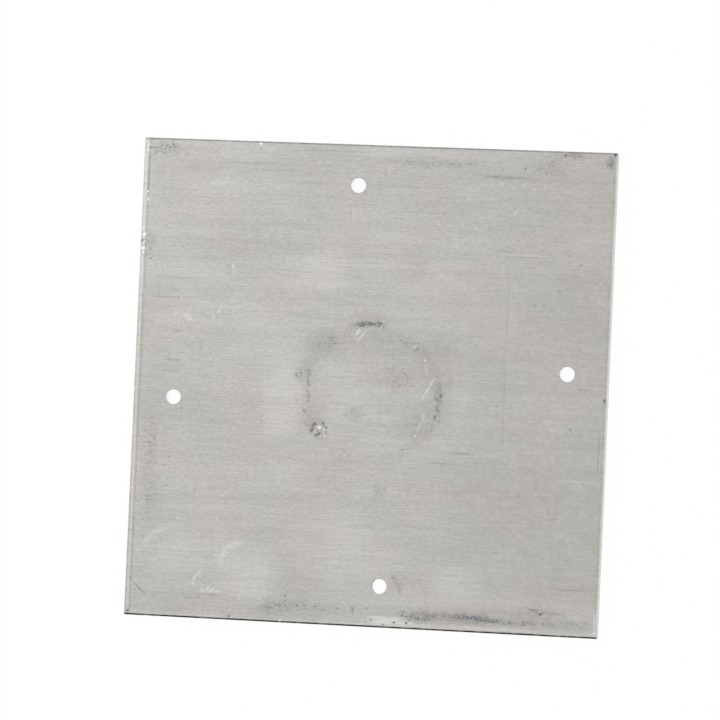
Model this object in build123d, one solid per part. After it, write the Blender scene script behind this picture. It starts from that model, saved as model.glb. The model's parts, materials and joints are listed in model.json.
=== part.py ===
from build123d import *
import os
from collections import namedtuple

# A square cover plate: one flat piece of mill-finish aluminium sheet, cut to size on a
# guillotine shear and drilled for four screws on a circle.
# Frame: millimetres, +Z up out of the face that shows, origin at the centre of the underside.

# Driving dimensions, in millimetres and degrees
side_length = 152.4  # a 6 in square blank
thickness = 3.175  # 1/8 in sheet
screw_circle = 127.0  # a 5 in circle of screws
screw_count = 4
screw_hole = 4.7625  # 3/16 in drill
screw_turn = 5.6  # the whole pattern was marked out this far round from square
rim_break = 0.12  # the cut that takes the burr off each hole rim
corner_radius = 0.4  # sharp corners, only dulled by handling

# A sheared edge has three zones from the face down. The blade first drags the face over in a
# roll, then cuts an upright land, and the sheet breaks through below it, leaning in a little.
ShearedEdge = namedtuple("ShearedEdge", "roll_width roll_drop")
left_edge = ShearedEdge(roll_width=1.5, roll_drop=0.26)
right_edge = ShearedEdge(roll_width=0.3, roll_drop=0.14)
front_edge = ShearedEdge(roll_width=0.5, roll_drop=0.3)
back_edge = ShearedEdge(roll_width=0.28, roll_drop=0.16)
land_share = 0.36  # of the thickness, from the face down to the bottom of the cut land
break_lean = 0.06  # how far the broken zone has leaned in by the underside

# Knocks that bruised the top corner of an edge, each from something round.
# along is the place on the edge: X on the front and back edges, Y on the left and right ones.
EdgeKnock = namedtuple("EdgeKnock", "edge along ball_radius depth")
edge_knocks = [
    EdgeKnock("front", -25.4, 1.5, 0.34),
    EdgeKnock("front", 74.9, 2.0, 0.22),
    EdgeKnock("right", -1.7, 0.8, 0.26),
    EdgeKnock("left", 47.6, 2.6, 0.36),
    EdgeKnock("left", 42.2, 3.4, 0.4),
    EdgeKnock("left", -3.2, 1.4, 0.34),
    EdgeKnock("left", -74.6, 1.6, 0.38),
]

# Worked out from the driving dimensions
half_side = side_length / 2
land_bottom = thickness * (1 - land_share)
outward = {
    "left": Vector(-1, 0),
    "right": Vector(1, 0),
    "front": Vector(0, -1),
    "back": Vector(0, 1),
}


def sheared_section(plane, low_edge, high_edge):
    """Face of the plate cut across, with low_edge on the plane's -X side, high_edge on its +X."""
    low_roll = EllipticalCenterArc(
        (-half_side + low_edge.roll_width, thickness - low_edge.roll_drop),
        low_edge.roll_width,
        low_edge.roll_drop,
        start_angle=90,
        arc_size=90,
    )
    high_roll = EllipticalCenterArc(
        (half_side - high_edge.roll_width, thickness - high_edge.roll_drop),
        high_edge.roll_width,
        high_edge.roll_drop,
        start_angle=0,
        arc_size=90,
    )
    underside = half_side - break_lean
    below_low_roll = Polyline(
        low_roll @ 1,
        (-half_side, land_bottom),
        (-underside, 0),
        (underside, 0),
        (half_side, land_bottom),
        high_roll @ 0,
    )
    flat = Line(high_roll @ 1, low_roll @ 0)
    return plane * make_face(low_roll + below_low_roll + high_roll + flat)


def sheared_blank():
    """The blank after four straight cuts: two sheared sections crossed at right angles."""
    back_end = Plane.XZ.offset(-half_side)
    left_end = Plane.YZ.offset(-half_side)
    cut_across_x = extrude(sheared_section(back_end, left_edge, right_edge), side_length)
    cut_across_y = extrude(sheared_section(left_end, front_edge, back_edge), side_length)
    dulled = extrude(RectangleRounded(side_length, side_length, corner_radius), thickness)
    return cut_across_x & cut_across_y & dulled


def screw_hole_cutter():
    """One drill's path with the deburring cuts at both rims, standing on the origin."""
    drill_radius = screw_hole / 2
    drill_path = Cylinder(drill_radius, thickness, align=(Align.CENTER, Align.CENTER, Align.MIN))
    rim_cut = Cone(
        drill_radius + rim_break,
        drill_radius,
        rim_break,
        align=(Align.CENTER, Align.CENTER, Align.MIN),
    )
    top_rim_cut = Pos(0, 0, thickness) * Rot(180, 0, 0) * rim_cut
    return drill_path + rim_cut + top_rim_cut


def knock_cutter(knock):
    """The ball that left one knock, sunk into the corner at 45 degrees."""
    out = outward[knock.edge]
    along = Vector(abs(out.Y), abs(out.X)) * knock.along
    away = (out + Vector(0, 0, 1)).normalized() * (knock.ball_radius - knock.depth)
    centre = out * half_side + along + Vector(0, 0, thickness) + away
    return Pos(centre) * Sphere(knock.ball_radius)


def cover_plate():
    """The finished plate."""
    screw_places = PolarLocations(screw_circle / 2, screw_count, start_angle=screw_turn)
    screw_holes = [place * screw_hole_cutter() for place in screw_places]
    knocks = [knock_cutter(knock) for knock in edge_knocks]
    return sheared_blank() - screw_holes - knocks


plate = cover_plate().solid()
plate.label = "cover_plate"

os.makedirs("parts", exist_ok=True)
export_step(plate, "parts/cover_plate.step")
print("cover_plate", plate.bounding_box().size, "volume", round(plate.volume, 1), "mm3")
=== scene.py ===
# %% [markdown]
# # A cover plate sheared from aluminium sheet
# The real thing is one flat square of mill-finish aluminium, 6 in across, guillotined from 1/8 in
# sheet and drilled for four screws. All its character is in how it was cut and in what has
# happened to it since: rolled and broken edges, a ring left by something that stood on it,
# scratches, dirt. The solid comes from CAD and is loaded first, because every size below is read
# from it.

import json
import math
from collections import namedtuple

import bmesh
import bpy
import numpy as np
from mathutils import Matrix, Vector
from mathutils.geometry import delaunay_2d_cdt


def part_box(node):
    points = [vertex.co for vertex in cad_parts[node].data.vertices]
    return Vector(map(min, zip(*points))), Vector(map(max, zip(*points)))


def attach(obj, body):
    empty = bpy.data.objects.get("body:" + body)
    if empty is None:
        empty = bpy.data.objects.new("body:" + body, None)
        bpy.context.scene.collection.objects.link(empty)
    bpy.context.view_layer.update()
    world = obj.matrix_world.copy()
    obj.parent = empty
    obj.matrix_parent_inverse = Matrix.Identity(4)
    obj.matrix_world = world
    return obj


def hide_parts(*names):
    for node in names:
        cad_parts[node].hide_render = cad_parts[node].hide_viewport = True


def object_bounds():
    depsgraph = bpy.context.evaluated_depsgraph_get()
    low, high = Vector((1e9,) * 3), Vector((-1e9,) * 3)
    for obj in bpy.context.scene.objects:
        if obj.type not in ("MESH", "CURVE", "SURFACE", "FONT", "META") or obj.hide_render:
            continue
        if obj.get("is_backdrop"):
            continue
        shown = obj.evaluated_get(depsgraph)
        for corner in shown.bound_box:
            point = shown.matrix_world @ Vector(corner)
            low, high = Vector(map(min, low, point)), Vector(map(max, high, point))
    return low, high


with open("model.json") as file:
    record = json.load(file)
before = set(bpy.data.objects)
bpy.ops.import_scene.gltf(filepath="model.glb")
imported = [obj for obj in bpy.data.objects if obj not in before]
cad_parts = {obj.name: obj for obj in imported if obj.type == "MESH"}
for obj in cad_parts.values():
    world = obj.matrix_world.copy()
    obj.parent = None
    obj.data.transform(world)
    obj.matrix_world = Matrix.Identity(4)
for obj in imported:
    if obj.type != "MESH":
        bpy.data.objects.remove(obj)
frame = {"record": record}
cad_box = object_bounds()

MM = 0.001
plate_low, plate_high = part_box("cover_plate")
half_side = (plate_high.x - plate_low.x) / 2 / MM
thickness = (plate_high.z - plate_low.z) / MM
print("plate", round(2 * half_side, 2), "mm square,", round(thickness, 3), "mm thick")

# %% [markdown]
# ## Where the screw holes are
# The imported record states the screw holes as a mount: a circle, a count and a hole size. Reading
# them there keeps this mesh on the solid. The pattern is 5.6 degrees round from square, because it
# was marked out a little askew. The record has no place for that turn, nor for the small cut that
# takes the burr off each rim, so those two are written here.

# %% Screw holes from the record
screw_mount = next(m for m in frame["record"]["mounts"] if m["name"] == "screw_holes")
screw_dims = screw_mount["dims"]
screw_turn = math.radians(5.6)
hole_radius = screw_dims["hole_r_mm"]
rim_break = 0.12
hole_angles = screw_turn + np.arange(screw_dims["count"]) * math.tau / screw_dims["count"]
hole_directions = np.column_stack([np.cos(hole_angles), np.sin(hole_angles)])
hole_centres = screw_dims["pcd_mm"] / 2 * hole_directions
print("screw holes at", hole_centres.round(2).tolist())

# %% [markdown]
# ## The shape of a sheared edge
# A shear blade first drags the face over in a roll, then cuts a bright upright land, and the sheet
# breaks through below it, leaning in a little. Each of the four edges had its own cut, so each has
# its own roll. Since then, seven knocks from round things have bruised the top corner. These are
# the solid's own numbers, so that this mesh follows it.

# %% Edges and knocks
Edge = namedtuple("Edge", "inward roll_width roll_drop")
edges = {
    "left": Edge((1, 0), 1.5, 0.26),
    "right": Edge((-1, 0), 0.3, 0.14),
    "front": Edge((0, 1), 0.5, 0.3),
    "back": Edge((0, -1), 0.28, 0.16),
}
land_share, break_lean, corner_radius = 0.36, 0.06, 0.4
land_bottom = thickness * (1 - land_share)

# edge, place along it, radius of the ball that bruised it, depth of the bruise
knocks = [
    ("front", -25.4, 1.5, 0.34),
    ("front", 74.9, 2.0, 0.22),
    ("right", -1.7, 0.8, 0.26),
    ("left", 47.6, 2.6, 0.36),
    ("left", 42.2, 3.4, 0.4),
    ("left", -3.2, 1.4, 0.34),
    ("left", -74.6, 1.6, 0.38),
]
print("the land ends", round(land_bottom, 3), "mm above the underside")

# %% [markdown]
# ## The top as a height map
# The rolls could be a bevel modifier, but each has its own width and depth and is a quarter of an
# ellipse. So the top is treated as a height map: a function gives the height at any point, and
# every vertex asks it. The knocks and the cut that takes the burr off the hole rims go into the
# same function.

# %% Heights of the top face
def distance_in(points, name):
    """How far points lie in from one edge of the plate, in mm."""
    return points @ np.array(edges[name].inward, float) + half_side


def top_height(points):
    """Height of the bare top face at points, an array of X and Y in mm."""
    height = np.full(len(points), thickness)
    for name, edge in edges.items():
        into_roll = np.clip(1 - distance_in(points, name) / edge.roll_width, 0, 1)
        rolled = thickness - edge.roll_drop * (1 - np.sqrt(1 - into_roll**2))
        height = np.minimum(height, rolled)
    for name, along, radius, depth in knocks:
        inward = np.array(edges[name].inward, float)
        corner = -inward * half_side + np.abs(inward[::-1]) * along
        away = (radius - depth) / math.sqrt(2)
        reach = np.linalg.norm(points - (corner - inward * away), axis=1)
        ball = thickness + away - np.sqrt(np.clip(radius**2 - reach**2, 0, None))
        height = np.where(reach < radius, np.minimum(height, ball), height)
    for centre in hole_centres:
        past_rim = hole_radius + rim_break - np.linalg.norm(points - centre, axis=1)
        height = np.minimum(height, thickness - np.clip(past_rim, 0, rim_break))
    return height


left_drop = thickness - top_height(np.array([[-half_side, 10.0]]))[0]
print("the face drops", round(float(left_drop), 3), "mm at the left edge")

# %% [markdown]
# ## Scratches and dashes
# Years of handling have left three kinds of mark: strokes, spots and clouds. Strokes are scratches
# and dashes, some packed with dirt and some bright where fresh metal shows, brightened further as
# a painted glint. They could be painted as an image, but a list of plain shapes in millimetres
# stays readable, and it drives both the relief of the mesh and the colour of the metal. Tone runs
# from -1, black dirt, to 1, bright metal with a painted glint.

# %% List the strokes
# each is x, y to x, y in mm from the middle of the plate, then width in mm and tone
ring_strokes = [
    (-5, 15.7, -3.7, 18, 0.45, 0.5), (-4.3, 16, -3.2, 17.8, 0.35, 0.4),
    (-4.5, 13.7, -1, 18.2, 0.35, 0.4), (2.5, 18, 3.8, 19.5, 0.4, 0.35),
    (-20, 4, -18.7, 3.9, 0.5, -0.4), (-19.9, 3, -18.9, 2.9, 0.5, -0.4),
    (-20, -0.5, -18.8, -0.6, 0.5, -0.35), (-20.2, -4, -18.8, -4.1, 0.5, -0.4),
    (-20, -5.8, -19, -5.9, 0.5, -0.4), (-24, 1, -22, 0.8, 0.4, 0.25),
    (-23.8, -0.8, -21.4, -1, 0.4, 0.25), (-23.6, -2.6, -21, -2.7, 0.4, 0.22),
    (-23.4, -4.3, -21.2, -4.4, 0.4, 0.2), (-23, -6, -21, -6.1, 0.4, 0.2),
    (-20.8, -8.4, -20, -9.3, 0.6, -0.55), (-20, -12, -19.3, -14, 0.6, -0.3),
    (-15.3, -14.6, -14.9, -17.6, 0.35, 0.35), (-14.3, -14.6, -13.2, -17.2, 0.35, 0.3),
    (-18.4, -15.8, -16.8, -13.4, 0.5, -0.45), (-14.8, -12.3, -13.2, -13.9, 0.45, -0.4),
    (-17.2, -16.4, -15.2, -16.6, 0.45, -0.45), (-13.4, -14.6, -12.8, -16, 0.4, -0.35),
    (-19.5, 4.6, -19.6, -1, 0.55, -0.22), (-19.6, -2.4, -19, -6.4, 0.55, -0.25),
    (-16.2, -14.2, -17.6, -16.9, 0.35, 0.25), (-13.6, -13.6, -12, -14.8, 0.35, 0.25),
    (9, 15, 13, 12.5, 0.45, -0.22), (13, 12.5, 15, 11, 0.45, -0.25),
    (18, 6.6, 18.7, 4.6, 0.5, 0.25), (20.8, 3.2, 19.5, 0.5, 0.45, 0.5),
    (19.5, 0.5, 18, -2, 0.45, 0.45), (18, -2, 17, -4.3, 0.4, 0.35),
    (18, -8, 17.5, -10.5, 0.5, 0.22), (17.5, -10.5, 16, -14, 0.5, 0.22),
    (20, -11, 18.9, -11.6, 0.45, -0.3), (18.3, -11.5, 17, -12.1, 0.45, -0.25),
    (16.4, -11.6, 15, -12, 0.45, -0.25), (19.4, -13.2, 18.4, -14.4, 0.45, -0.25),
    (10.3, -20.2, 12.8, -19.4, 0.4, -0.2), (-9, -20.4, -6, -21.3, 0.4, -0.15),
    (-2, -22.6, 3, -22.7, 0.4, -0.12), (5, -22.2, 9, -21.2, 0.4, -0.15),
    (22.6, 1.4, 23.6, -2.2, 0.4, -0.25), (21.9, -5, 22.4, -7.4, 0.4, -0.25),
]
left_strokes = [
    (-66.5, 31.6, -60, 31.6, 0.45, -0.16), (-66, 27.8, -62, 27.8, 0.4, -0.14),
    (-70, 25.4, -62.7, 25.4, 0.45, -0.18), (-66.6, 22.5, -65.4, 22.5, 0.45, -0.25),
    (-65, 22.5, -64, 22.5, 0.45, -0.25), (-65.8, 20.6, -64.3, 20.6, 0.45, -0.2),
    (-64, 14.6, -61, 14.6, 0.45, -0.18), (-66, 5.5, -61.5, 5.5, 0.55, -0.26),
    (-67, 2, -62, 2, 0.45, -0.16), (-66, -16.5, -61, -16.5, 0.45, -0.16),
    (-66, -28, -64, -28, 0.45, -0.2), (-60.2, -7, -60, -12, 0.4, -0.15),
    (-61, 20.5, -58, 18.7, 0.4, 0.35), (-61, 19.9, -58.4, 18.3, 0.35, 0.3),
    (-60.6, 21.1, -58.2, 19.6, 0.35, 0.25), (-50.2, 21, -49, 23, 0.4, 0.3),
    (-52, 20.8, -50.8, 19, 0.4, 0.3), (-46.3, 36, -46.2, 32, 0.4, -0.15),
    (-74.2, 70, -74.2, 58, 0.5, -0.25), (-72.4, -40.3, -71.6, -39.7, 0.5, 0.35),
    (-60.6, -45, -59.5, -44.1, 0.4, 0.35), (-54.5, -37.3, -53.6, -36.4, 0.4, 0.3),
    (-52, -34, -51, -33.2, 0.4, 0.3), (-37.4, -2.9, -36.6, -2.2, 0.45, 0.35),
    (-45.4, 0.4, -44.6, 1.2, 0.4, 0.3), (-41.5, 45.7, -40.4, 46.3, 0.4, 0.35),
    (-35.5, 46.3, -34.6, 46.7, 0.4, 0.3), (-20, 57, -16, 52, 0.4, -0.1),
    (-8.1, 58, -7.9, 51, 0.4, -0.12), (-68, 12.3, -64.5, 12.4, 0.35, -0.1),
    (-71.5, 35.4, -67.5, 35.3, 0.35, -0.1), (-69.5, -8, -65, -8.1, 0.35, -0.1),
]
right_strokes = [
    (43.6, 38.5, 43.6, 14, 0.4, -0.14), (43.6, 14, 43.6, -22.5, 0.4, -0.12),
    (39, 43, 57, 43, 0.45, 0.2), (39, 42.5, 57, 42.5, 0.35, -0.1),
    (41, 44.2, 44.5, 43.6, 0.35, -0.2), (26.5, -20.1, 34, -20.1, 0.5, -0.3),
    (21, -23.5, 28, -23.5, 0.45, -0.2), (55, 47.7, 62, 47.7, 0.45, -0.18),
    (46, 33, 50, 33, 0.45, -0.15), (57, -39.7, 62, -39.7, 0.45, -0.2),
    (55, -38.8, 58, -38.8, 0.4, -0.15), (48, -34.8, 50, -34.8, 0.45, -0.2),
    (45, -31.7, 47, -31.7, 0.45, -0.2), (62, -61.5, 74, -61.5, 0.45, -0.2),
    (67.6, 1.5, 70.5, 1.5, 0.45, -0.2), (60, -27.3, 75.5, -27.3, 0.45, 0.18),
    (69, -29, 71, -30, 0.4, 0.3), (72.2, 34.7, 73, 35.4, 0.4, 0.3),
    (73.6, 37.6, 74.3, 38.4, 0.4, 0.3), (44, 55.7, 45.3, 57.2, 0.4, 0.35),
    (48.3, 56, 49.3, 56.6, 0.4, 0.3), (36.8, 60.3, 38.8, 60.7, 0.4, 0.25),
    (3, -31, 4.2, -33, 0.45, -0.2), (4.4, -31.6, 5, -34, 0.45, -0.2),
    (5.6, -32.4, 6.2, -35, 0.4, -0.18), (74.2, -12, 74.2, -25, 0.4, -0.25),
]
top_strokes = [
    (-27, 73.8, -5, 73.8, 0.5, -0.15), (-26, 63.2, -15, 63.2, 0.4, -0.12),
    (-3, 63.2, 25, 63.2, 0.4, -0.12), (40, 63.2, 50, 63.2, 0.4, -0.12),
    (-50, 69.1, -27, 69, 0.5, -0.14), (-40, 67, -25, 67, 0.5, -0.12),
    (34, 67.3, 40, 67.3, 0.5, -0.25), (41, 67.2, 48, 67.3, 0.5, -0.25),
    (51, 70.4, 53, 70.4, 0.5, -0.25), (57, 74.7, 66, 74.7, 0.7, -0.15),
    (-19.4, 69.8, -18.6, 70.3, 0.45, 0.4), (-16.9, 70, -16.1, 70.5, 0.4, 0.35),
    (-18.4, 67.8, -17.6, 68.2, 0.4, 0.3), (-6.4, 67.8, -5.6, 68.3, 0.4, 0.35),
    (-9.2, 58, -8.4, 58.4, 0.4, 0.3), (43, 63.8, 44, 64.4, 0.4, 0.3),
    (46.5, 65.3, 47.4, 65.8, 0.4, 0.3), (49.5, 63.6, 50.5, 64.2, 0.4, 0.3),
    (52.8, 66.2, 53.8, 66.8, 0.4, 0.25), (-15, 43, 8, 43.1, 0.45, 0.12),
    (-12, 56, 5, 56, 0.45, 0.1), (-75.3, 75, -74.6, 73.6, 0.6, 0.5),
    (-75.4, 73, -74.9, 71.4, 0.5, 0.4), (0, 71, 9, 70.7, 0.6, -0.08),
    (9, 70.6, 18, 70.9, 0.6, -0.12), (18.5, 71.1, 26, 71.3, 0.5, -0.08),
]
bottom_strokes = [
    (53, -67.5, 59, -69.5, 0.6, -0.3), (61, -69, 65, -69.1, 0.5, -0.3),
    (68, -69, 70.5, -71.6, 0.4, 0.25), (69.2, -68.8, 71.4, -71, 0.4, 0.25),
    (-2, -70, -1.9, -72.5, 0.4, -0.45), (-2.7, -69.8, -2, -70.8, 0.4, -0.4),
    (-1.3, -69.8, -1.9, -70.8, 0.4, -0.4), (-54.6, -65, -53.4, -65.2, 0.5, 0.5),
    (-56, -65.4, -55, -65.2, 0.45, 0.4), (-53.2, -62.3, -51.8, -62.7, 0.45, 0.35),
    (-53, -61.5, -54.4, -64.6, 0.5, 0.35), (-51.8, -60.8, -53, -63, 0.45, 0.3),
    (-50.6, -66.2, -51.8, -67.6, 0.45, 0.4), (-48.8, -65.6, -49.8, -67.4, 0.45, 0.45),
    (-47.2, -66, -48.2, -67.6, 0.45, 0.35), (-45.2, -66.2, -46.4, -67.6, 0.4, 0.3),
    (-52, -68.4, -44, -68.7, 0.6, -0.18), (-43.5, -67.2, -39, -67.6, 0.5, -0.15),
    (-51.5, -67.3, -50, -67.6, 0.5, 0.4), (-49.4, -67.2, -48, -67.7, 0.5, 0.4),
    (-47.4, -67.5, -46, -67.6, 0.45, 0.35), (-45.9, -67.4, -45, -67.6, 0.4, 0.35),
    (-39.5, -69.1, -38.4, -68.9, 0.45, 0.35), (-73.5, -65.8, -69.7, -69.3, 0.45, -0.4),
    (-75, -64, -74, -65.5, 0.4, -0.35), (3, -72.9, 9, -72.8, 0.5, 0.4),
    (5, -73.7, 14, -73.6, 0.5, 0.45), (9.5, -72.9, 16, -72.9, 0.45, 0.35),
    (4, -74.4, 10.5, -74.4, 0.5, 0.4), (12.4, -74.4, 18, -74.3, 0.5, 0.35),
    (28, -74.7, 60, -74.7, 0.7, 0.15), (10.5, -59.5, 13.5, -65, 0.8, -0.2),
    (75.2, -68, 75.2, -75, 0.6, 0.3), (-25.8, -75.6, -24.9, -75.5, 0.6, 0.6),
]
strokes = ring_strokes + left_strokes + right_strokes + top_strokes + bottom_strokes
print(len(strokes), "strokes,", round(sum(math.dist(s[:2], s[2:4]) for s in strokes)), "mm in all")

# %% [markdown]
# ## Pits and stuck grains
# Spots are small pits full of dirt, grains that stuck to the face, and a few dents, drawn bright
# as a painted highlight where they catch the light. A noise could scatter them, but the larger
# ones have places of their own along the ring and the edges, so they are listed too. Each is an
# ellipse, because most are a little drawn out.

# %% List the spots
# each is x, y in mm, how long and how high it is in mm, and its tone
spots = [
    (-23.5, 2.3, 1.1, 0.8, -0.35), (-22, 3.8, 0.7, 0.6, -0.25), (-17.7, -15, 0.9, 0.8, -0.7),
    (-15.4, -15.9, 0.9, 0.7, -0.8), (-14.1, -12.5, 0.9, 0.8, -0.7), (-17, -13, 1, 0.8, -0.7),
    (-16.4, -16.3, 0.9, 0.7, -0.6), (-13, -14, 0.7, 0.7, -0.5), (-15.4, -13.9, 1.5, 1.1, 0.75),
    (-14, -14.5, 0.9, 0.7, 0.5), (-12.6, 9.8, 0.6, 0.6, -0.35), (-8.5, 15.3, 0.6, 0.6, -0.35),
    (11, 13, 0.6, 0.6, -0.35), (15.5, 12.3, 0.7, 0.6, -0.35), (14, 12.9, 0.9, 0.5, 0.4),
    (17.5, 8.8, 0.7, 0.7, 0.45), (15.5, -15.2, 0.7, 0.7, 0.5), (22.8, 1.5, 0.6, 0.6, -0.35),
    (23.4, -2.4, 0.8, 1.6, -0.5), (22, -3, 0.6, 0.5, -0.3), (22.2, -6, 0.6, 0.6, -0.35),
    (21.6, -9.2, 0.8, 1.1, -0.55), (8, 6, 0.6, 0.6, -0.3), (11, 5.8, 0.6, 0.6, -0.3),
    (11.5, 4.3, 0.6, 0.6, -0.3), (9, 1.5, 0.6, 0.6, -0.3), (7.7, -0.3, 0.6, 0.6, -0.3),
    (1, -11, 0.6, 0.6, -0.3), (12, -19.8, 0.6, 0.6, -0.35), (-24.3, -24, 0.6, 0.6, -0.35),
    (-13, -29.5, 0.6, 0.6, -0.3), (27, 22.5, 0.6, 0.6, -0.35), (-39.3, 43.9, 0.6, 0.6, -0.35),
    (-34, -6.5, 0.6, 0.6, -0.3), (-34, -11.2, 0.6, 0.6, -0.3), (52, 27.4, 0.6, 0.6, -0.35),
    (66.3, 40.6, 0.7, 0.7, -0.4), (59.7, 32.2, 0.7, 0.7, -0.35), (65, -11, 0.7, 0.7, -0.4),
    (67.5, 1.5, 0.7, 0.7, -0.4), (-61.5, 18.2, 0.7, 0.7, -0.3), (-62.7, 25.4, 0.7, 0.7, -0.35),
    (-63.5, -25.3, 0.8, 0.7, -0.4), (-64.2, -34.7, 0.7, 0.7, -0.3), (-45.8, 36.3, 0.7, 0.7, 0.45),
    (-72.4, 37.6, 0.7, 0.7, -0.45), (47.2, 70.3, 0.8, 0.8, -0.5), (10, 70.6, 0.9, 0.7, -0.2),
    (75.5, 75.5, 1, 0.8, -0.8), (-74.7, 59, 0.7, 0.8, 0.5), (-74.6, 56.5, 0.7, 0.8, 0.5),
    (-38.6, 75.4, 1, 0.8, 0.7), (14.5, -70.9, 0.8, 0.7, -0.4), (14, -72, 0.8, 0.7, -0.4),
    (24, -72, 0.8, 0.7, -0.4), (11.5, -74.3, 0.8, 0.7, -0.8), (15.4, -74.3, 0.8, 0.7, -0.8),
    (4, -73.9, 0.7, 0.7, -0.6), (8, -75.2, 0.7, 0.6, -0.6), (-24, -67.7, 0.8, 0.7, -0.5),
    (-20, -70.5, 0.9, 0.7, -0.55), (-17.5, -70.5, 0.8, 0.7, -0.5), (-14, -70.5, 0.8, 0.7, -0.5),
    (-25.6, -71.2, 0.8, 0.7, -0.3), (-7, -70.8, 0.7, 0.7, -0.45), (2.5, -70.3, 0.7, 0.7, -0.45),
    (10.3, -60.3, 0.7, 0.7, -0.45), (58, -69.4, 0.9, 0.8, -0.6), (-75, -75, 0.9, 0.9, -0.7),
    (-41.9, -75.1, 0.8, 0.8, -0.7), (75.4, -1.7, 0.9, 1.3, -0.7), (75.2, -74.5, 0.8, 0.9, 0.5),
    (-75.3, 45.4, 1.1, 1, 0.7), (-75.5, 43, 0.9, 1.2, -0.35), (-75.4, 41, 1, 0.9, 0.7),
    (-75.4, 39.7, 0.8, 0.7, 0.6), (-72, 71.4, 1.6, 1, -0.15), (74.4, 72.8, 1.8, 2.6, -0.22),
]
print(len(spots), "spots")

# %% [markdown]
# ## Clouds of grime, tarnish and rubbing
# Clouds are soft areas with no outline: smears of grey grime, brown tarnish, and places that were
# rubbed lighter. The broadest tarnish clouds, on the right half, are painted shade as well: they
# make that side darker. Each is an ellipse that fades from its middle. Where two overlap they add
# up, so a few plain ellipses make an uneven smear, and the material's noises break it into specks.

# %% List the clouds
# each is x, y in mm, how far it spreads along X and Y, and how strong it is from 0 to 1
clouds = {
    "grime": [
        (37, -71.9, 10, 1.8, 0.62), (33, -71.1, 3, 1, 0.3), (42, -72.4, 3, 0.9, 0.3),
        (51, -72.6, 8, 1.1, 0.4), (64, -72.4, 13, 2, 0.3), (20.5, -72, 9, 2.2, 0.6),
        (-16, -70.3, 15, 3, 0.24), (-27, -71.6, 7, 2.6, 0.32), (-31, -71.8, 2, 1, 0.25),
        (12, -62, 3, 4.5, 0.25), (17, 70.9, 19, 1.9, 0.33), (55, 70.6, 6, 4, 0.3),
        (-69, 73, 6.5, 2.6, 0.42), (74.4, 72.8, 1.9, 3, 0.5), (62, 74.8, 6.5, 1, 0.42),
        (-73, 43, 1.6, 4.5, 0.32), (-70.6, -20, 3, 9, 0.3), (-70, -36, 3.2, 13, 0.3),
        (-16, -14.3, 3.4, 3.2, 0.4), (22.6, -3, 1.4, 5, 0.18), (-13, 12, 7, 6, 0.22),
        (41, 67.3, 8, 0.9, 0.28), (57, -68.8, 6, 1.8, 0.35), (-46, -69.6, 18, 1.3, 0.22),
        (5, -33.2, 3, 3, 0.25), (4, -4, 18, 20, 0.1), (9.5, 3.5, 5, 7, 0.2), (8, 13, 8, 4, 0.14),
        (-4, -9, 5, 2.5, 0.16), (-22.8, 2.8, 1.8, 1.8, 0.3), (-19.2, -1, 1.1, 5.5, 0.14),
    ],
    "tarnish_and_shade": [
        (-15, 13, 6.5, 5, 0.4), (-20, 10, 3, 4.5, 0.3), (21.5, 12, 5.5, 5.5, 0.5),
        (24, 2, 3.5, 7, 0.32), (23.5, -8, 4, 7, 0.28), (13, 38, 4.5, 7, 0.3), (66, 34, 10, 8, 0.3),
        # the broad clouds at (70, -5), (60, -50) and (68, 65) are tarnish and painted shade: they
        # darken the right side
        (63.5, -51.5, 4, 1.6, 0.5), (53.5, -51, 2.5, 1.8, 0.45), (70, -5, 45, 60, 0.35),
        (60, -50, 40, 30, 0.2), (68, 65, 38, 14, 0.25), (-4, -9, 3.4, 2, 0.4),
        (6, -8, 2.4, 1.4, 0.35), (40, -33, 30, 1.5, 0.35), (-45, 67.5, 28, 2.6, 0.35),
        (50, 68, 26, 3, 0.4), (-17.5, -13, 3, 4, 0.25), (44, -71.6, 30, 4.2, 0.6),
        (4, 14, 12, 5, 0.3), (14, -12, 5, 7, 0.35), (46, -28, 18, 22, 0.22), (-71, 4, 7, 46, 0.22),
        (0, 21, 7, 2.6, 0.45),
    ],
    "rubbing": [
        (-36, -62, 9, 9, 0.28), (-61, -58, 8, 8, 0.15), (-15, 36, 9, 8, 0.22),
        (10, -74, 9, 1.4, 0.35), (30, -74.9, 45, 0.9, 0.3), (14, 73.7, 26, 2, 0.2),
        (-28, -5, 7, 14, 0.35), (-8, -1, 9, 12, 0.2), (-9, -50, 13, 16, 0.22),
        (30, -61, 9, 7, 0.3),
    ],
}
print({kind: len(found) for kind, found in clouds.items()})

# %% [markdown]
# ## The ring
# Something round stood on the plate for a long time and left a stained ring 43 mm across, dark
# where it pressed hardest. A ring is an arc with a width, so it is a list of arcs round one
# centre, each with its own strength: one whole ring would be too even. Two rubbed discs near the
# front left have a lighter rim on one side, made with the same function.

# %% Arcs of the ring stain and of the rubbed discs
ring_centre = (-0.3, -4.0)
# centre, radius in mm, first and last angle in degrees, width in mm and strength
arcs = {
    "grime": [
        (ring_centre, 23.5, 74, 112, 1.3, 0.5), (ring_centre, 23.7, 78, 102, 1.1, 0.65),
        (ring_centre, 22.8, 150, 172, 1.4, 0.18), (ring_centre, 19.6, 185, 228, 2.6, 0.2),
        (ring_centre, 22.8, 330, 372, 1.4, 0.18), (ring_centre, 21.2, 112, 185, 4, 0.15),
        (ring_centre, 23, -35, 75, 3.4, 0.2), (ring_centre, 21, 230, 330, 1.4, 0.1),
    ],
    "tarnish_and_shade": [
        (ring_centre, 21.5, -50, 60, 5, 0.4), (ring_centre, 21.5, 60, 120, 4.6, 0.35),
        (ring_centre, 17.6, 318, 366, 4, 0.35), (ring_centre, 21.6, 115, 180, 5, 0.24),
        (ring_centre, 18.6, 190, 232, 4.6, 0.3), (ring_centre, 21.5, 235, 320, 4.4, 0.15),
    ],
    "rubbing": [
        ((-36, -62), 11, 95, 165, 1.6, 0.6), ((-61, -58), 10.5, 60, 170, 1.4, 0.3),
    ],
}
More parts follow.
